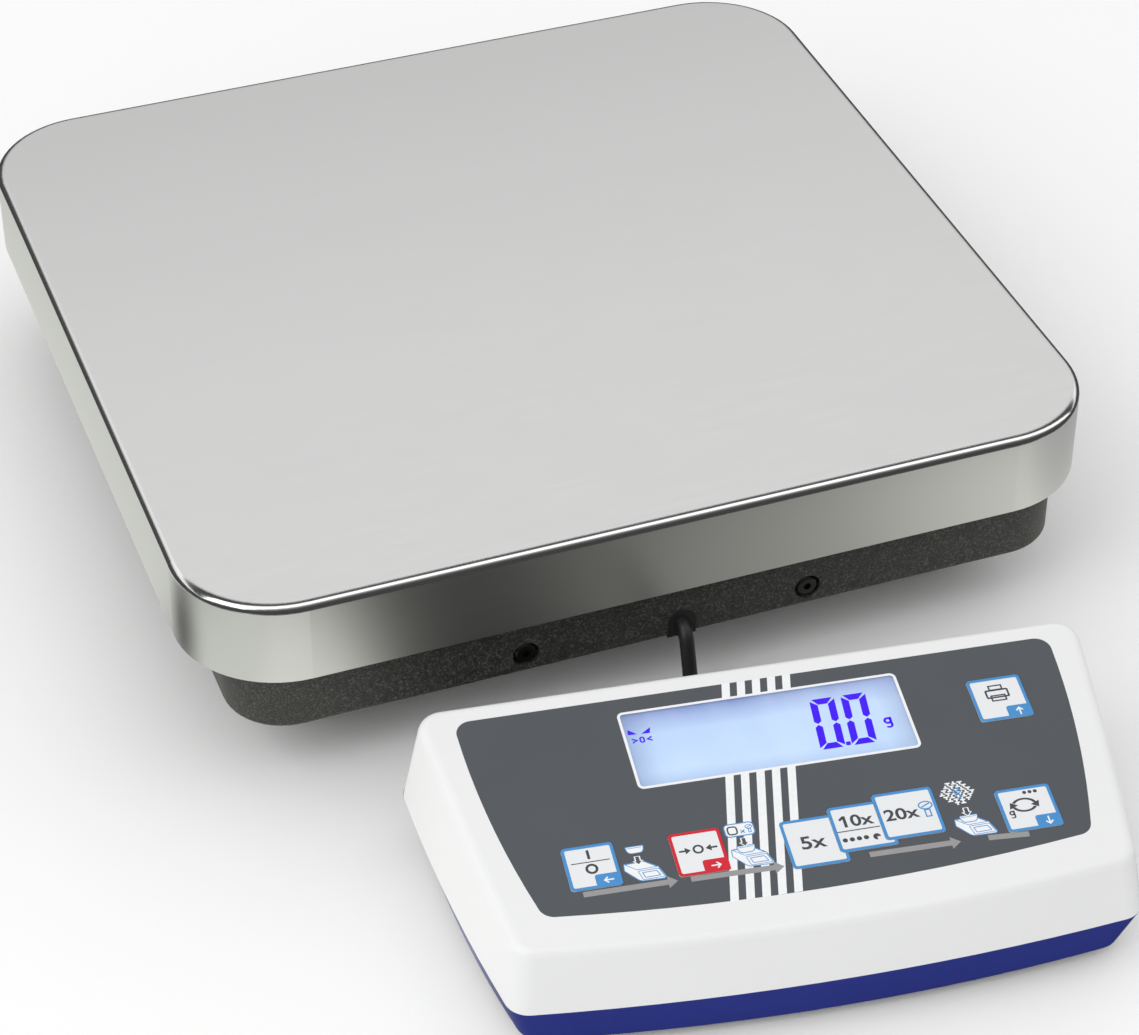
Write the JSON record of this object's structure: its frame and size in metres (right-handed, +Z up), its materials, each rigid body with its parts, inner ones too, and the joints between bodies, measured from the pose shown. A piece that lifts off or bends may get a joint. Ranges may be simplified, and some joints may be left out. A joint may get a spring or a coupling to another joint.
{
  "type": "counting scale",
  "caption": "Bench counting scale: low platform with a lift-off stainless pan on a speckled housing, levelling feet, and a cabled display unit with membrane keys.",
  "frame": {"origin": "on the table plane under the middle of the whole object, platform and display unit together", "axes": "+X along the platform front to the right, +Y to the rear away from the display unit, +Z up"},
  "size_m": [0.318, 0.4725, 0.075],
  "materials": {
    "pan_steel": "fine brushed",
    "housing_paint": "speckled satin",
    "cell_aluminium": "machined",
    "zinc_steel": "zinc plated",
    "black_steel": "black oxide",
    "cast_carrier": "cast",
    "brass": "turned",
    "black_rubber": "matte",
    "cable_jacket": "satin",
    "black_plastic": "matte",
    "vial_glass": "clear",
    "shell_white": "satin",
    "shell_blue": "satin",
    "overlay_grey": "fine matt film",
    "window_clear": "clear",
    "lcd": "glossy",
    "backlight_white": "diffuse",
    "board_green": "solder mask",
    "dome_steel": "bright",
    "ribbon_film": "film",
    "battery_case": "satin",
    "key_white": "printed film"
  },
  "bodies": {
    "platform": {"base_housing": "housing_paint", "load_cell": "cell_aluminium", "load_cell_spacer": "zinc_steel", "load_cell_base_screws": "zinc_steel", "overload_stop_screws": "zinc_steel", "overload_lock_nuts": "zinc_steel", "foot_bushes": "brass", "front_screws": "black_steel", "front_screw_inserts": "brass", "bubble_level_body": "black_plastic", "bubble_level_vial": "vial_glass", "cable_grommet": "black_rubber", "cable_clip": "black_plastic", "cable_clip_screw": "zinc_steel", "signal_cable": "cable_jacket"},
    "carrier": {"carrier_frame": "cast_carrier", "carrier_spacer": "zinc_steel", "carrier_screws": "zinc_steel", "pan_buffers": "black_rubber"},
    "pan": {"weighing_pan": "pan_steel"},
    "display": {"display_top_shell": "shell_white", "display_bottom_shell": "shell_blue", "panel_overlay": "overlay_grey", "display_window": "window_clear", "lcd_glass": "lcd", "lcd_backlight": "backlight_white", "lcd_frame": "black_plastic", "keypad_board": "board_green", "snap_domes": "dome_steel", "main_board": "board_green", "board_chips": "black_plastic", "keypad_ribbon": "ribbon_film", "board_screws": "zinc_steel", "shell_screws": "zinc_steel", "display_feet": "black_rubber", "dc_socket": "black_plastic", "dc_socket_pin": "brass", "data_port_shell": "zinc_steel", "data_port_insert": "black_plastic", "display_grommet": "black_rubber", "battery": "battery_case", "buzzer": "black_plastic"},
    "battery_door": {"battery_cover": "shell_blue"},
    "foot_pad_front_left_body": {"foot_pad_front_left": "black_rubber"},
    "foot_wheel_front_left_body": {"foot_wheel_front_left": "zinc_steel"},
    "foot_pad_front_right_body": {"foot_pad_front_right": "black_rubber"},
    "foot_wheel_front_right_body": {"foot_wheel_front_right": "zinc_steel"},
    "foot_pad_rear_left_body": {"foot_pad_rear_left": "black_rubber"},
    "foot_wheel_rear_left_body": {"foot_wheel_rear_left": "zinc_steel"},
    "foot_pad_rear_right_body": {"foot_pad_rear_right": "black_rubber"},
    "foot_wheel_rear_right_body": {"foot_wheel_rear_right": "zinc_steel"},
    "key_power_body": {"key_power": "key_white"},
    "key_tare_body": {"key_tare": "key_white"},
    "key_5x_body": {"key_5x": "key_white"},
    "key_10x_body": {"key_10x": "key_white"},
    "key_20x_body": {"key_20x": "key_white"},
    "key_mode_body": {"key_mode": "key_white"},
    "key_print_body": {"key_print": "key_white"}
  },
  "joints": [
    {"name": "load_travel", "type": "slide", "parent": "platform", "child": "carrier", "axis": [0, 0, -1], "range_m": [0, 0.0005], "deforming": ["load_cell"]},
    {"name": "pan_lift", "type": "slide", "parent": "carrier", "child": "pan", "axis": [0, 0, 1], "range_m": [0, 0.06]},
    {"name": "display_slide", "type": "slide", "parent": "platform", "child": "display", "axis": [-0.1371, -0.9906, 0], "range_m": [0, 0.04]},
    {"name": "battery_cover_release", "type": "slide", "parent": "display", "child": "battery_door", "axis": [0, 0, -1], "range_m": [0, 0.012]},
    {"name": "foot_height_front_left", "type": "slide", "parent": "platform", "child": "foot_pad_front_left_body", "axis": [0, 0, 1], "range_m": [-0.004, 0.004]},
    {"name": "foot_turn_front_left", "type": "hinge", "parent": "foot_pad_front_left_body", "child": "foot_wheel_front_left_body", "pos_m": [-0.118, -0.02767, 0.008], "axis": [0, 0, 1], "range_deg": [-1153, 1153]},
    {"name": "foot_height_front_right", "type": "slide", "parent": "platform", "child": "foot_pad_front_right_body", "axis": [0, 0, 1], "range_m": [-0.004, 0.004]},
    {"name": "foot_turn_front_right", "type": "hinge", "parent": "foot_pad_front_right_body", "child": "foot_wheel_front_right_body", "pos_m": [0.118, -0.02767, 0.008], "axis": [0, 0, 1], "range_deg": [-1153, 1153]},
    {"name": "foot_height_rear_left", "type": "slide", "parent": "platform", "child": "foot_pad_rear_left_body", "axis": [0, 0, 1], "range_m": [-0.004, 0.004]},
    {"name": "foot_turn_rear_left", "type": "hinge", "parent": "foot_pad_rear_left_body", "child": "foot_wheel_rear_left_body", "pos_m": [-0.118, 0.19233, 0.008], "axis": [0, 0, 1], "range_deg": [-1153, 1153]},
    {"name": "foot_height_rear_right", "type": "slide", "parent": "platform", "child": "foot_pad_rear_right_body", "axis": [0, 0, 1], "range_m": [-0.004, 0.004]},
    {"name": "foot_turn_rear_right", "type": "hinge", "parent": "foot_pad_rear_right_body", "child": "foot_wheel_rear_right_body", "pos_m": [0.118, 0.19233, 0.008], "axis": [0, 0, 1], "range_deg": [-1153, 1153]},
    {"name": "press_power", "type": "slide", "parent": "display", "child": "key_power_body", "axis": [0.0167, 0.1207, -0.9925], "range_m": [0, 0.0004]},
    {"name": "press_tare", "type": "slide", "parent": "display", "child": "key_tare_body", "axis": [0.0167, 0.1207, -0.9925], "range_m": [0, 0.0004]},
    {"name": "press_5x", "type": "slide", "parent": "display", "child": "key_5x_body", "axis": [0.0167, 0.1207, -0.9925], "range_m": [0, 0.0004]},
    {"name": "press_10x", "type": "slide", "parent": "display", "child": "key_10x_body", "axis": [0.0167, 0.1207, -0.9925], "range_m": [0, 0.0004]},
    {"name": "press_20x", "type": "slide", "parent": "display", "child": "key_20x_body", "axis": [0.0167, 0.1207, -0.9925], "range_m": [0, 0.0004]},
    {"name": "press_mode", "type": "slide", "parent": "display", "child": "key_mode_body", "axis": [0.0167, 0.1207, -0.9925], "range_m": [0, 0.0004]},
    {"name": "press_print", "type": "slide", "parent": "display", "child": "key_print_body", "axis": [0.0167, 0.1207, -0.9925], "range_m": [0, 0.0004]}
  ],
  "couplings": [
    {"joint": "foot_turn_front_left", "follows": "foot_height_front_left", "rad_per_m": 5026.5},
    {"joint": "foot_turn_front_right", "follows": "foot_height_front_right", "rad_per_m": 5026.5},
    {"joint": "foot_turn_rear_left", "follows": "foot_height_rear_left", "rad_per_m": 5026.5},
    {"joint": "foot_turn_rear_right", "follows": "foot_height_rear_right", "rad_per_m": 5026.5}
  ]
}
